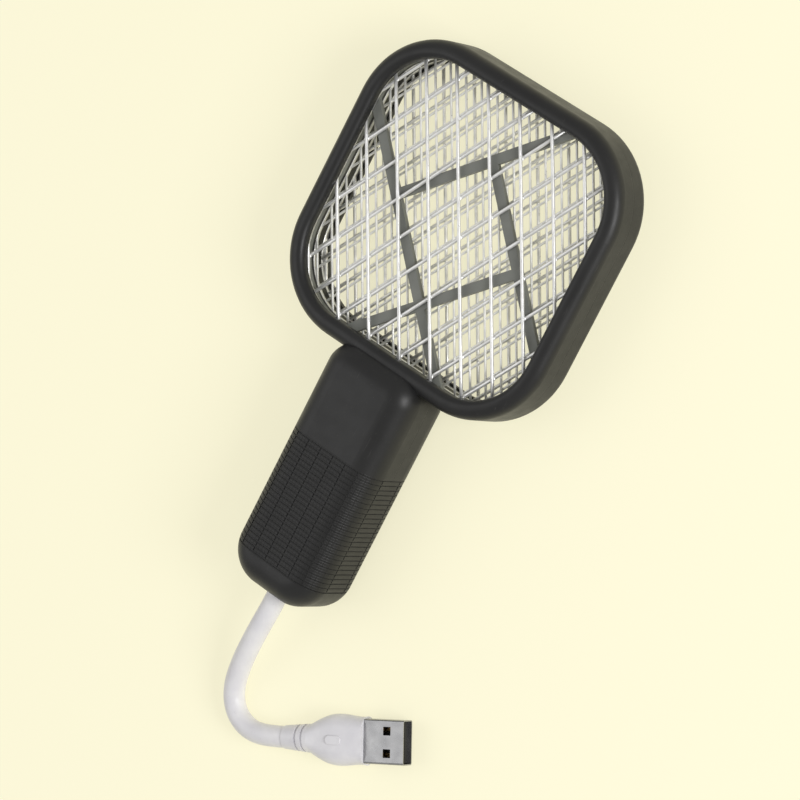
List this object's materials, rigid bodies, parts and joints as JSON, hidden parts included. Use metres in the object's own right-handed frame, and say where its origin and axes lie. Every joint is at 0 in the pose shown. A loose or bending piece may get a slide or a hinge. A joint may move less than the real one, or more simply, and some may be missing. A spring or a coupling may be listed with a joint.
{
  "type": "electric fly swatter",
  "caption": "Palm-sized electric fly swatter: rounded-square head with wire grids and a rib frame, short gripped handle, and a short stiff lead with a USB plug.",
  "frame": {"origin": "centre of the swatter's footprint, without its lead, on the plane that it lies on", "axes": "+Y from the handle to the tip of the head, +Z out of the side with no controls, which lies uppermost"},
  "size_m": [0.0987, 0.1973, 0.023],
  "materials": {
    "shell_plastic": "fine satin texture",
    "rib_plastic": "satin",
    "spacer_plastic": "satin",
    "grid_wire": "bright drawn wire",
    "button_plastic": "gloss",
    "knob_plastic": "satin",
    "lens": "diffused",
    "switch_plastic": "satin",
    "contact_brass": "satin",
    "board": "solder mask",
    "ferrite": "sintered",
    "coil_tape": "tape",
    "capacitor_film": "dipped",
    "component_body": "moulded",
    "cell_wrap": "foil",
    "foam": "foam",
    "lead_insulation": "satin",
    "screw_steel": "zinc",
    "cord_plastic": "satin",
    "bushing_plastic": "satin",
    "clamp_plastic": "satin",
    "plug_plastic": "satin",
    "plug_steel": "nickel plated",
    "plug_insert": "satin",
    "plug_contacts": "gold flash"
  },
  "bodies": {
    "case": {"back_shell": "shell_plastic", "front_shell": "shell_plastic", "outer_grid_back": "grid_wire", "outer_grid_front": "grid_wire", "inner_grid": "grid_wire", "rib_frame": "rib_plastic", "spacer_ring_back": "spacer_plastic", "spacer_ring_front": "spacer_plastic", "live_contact": "contact_brass", "earth_strap": "contact_brass", "live_lead": "lead_insulation", "earth_lead": "lead_insulation", "circuit_board": "board", "transformer_core": "ferrite", "transformer_coil": "coil_tape", "storage_capacitor": "capacitor_film", "cell_pad": "foam", "battery_cell": "cell_wrap", "battery_leads": "lead_insulation", "rectifier_diodes": "component_body", "discharge_resistor": "component_body", "charge_chip": "component_body", "switching_transistor": "component_body", "tact_switch_body": "switch_plastic", "slide_switch_body": "switch_plastic", "indicator_led": "lens", "case_screws": "screw_steel", "cord_bushing": "bushing_plastic", "cord_clamp": "clamp_plastic", "supply_leads": "lead_insulation", "usb_cord": "cord_plastic", "usb_overmould": "plug_plastic", "usb_shell": "plug_steel", "usb_insert": "plug_insert", "usb_contacts": "plug_contacts"},
    "button": {"push_button": "button_plastic", "tact_switch_stem": "switch_plastic"},
    "power_slider": {"power_knob": "knob_plastic", "slide_switch_lever": "switch_plastic"}
  },
  "joints": [
    {"name": "button_press", "type": "slide", "parent": "case", "child": "button", "axis": [0, 0, 1], "range_m": [0, 0.0005], "stiffness_N_per_m": 4000, "springref_m": -0.0001},
    {"name": "power_slide", "type": "slide", "parent": "case", "child": "power_slider", "axis": [0, 1, 0], "range_m": [0, 0.0025]}
  ]
}
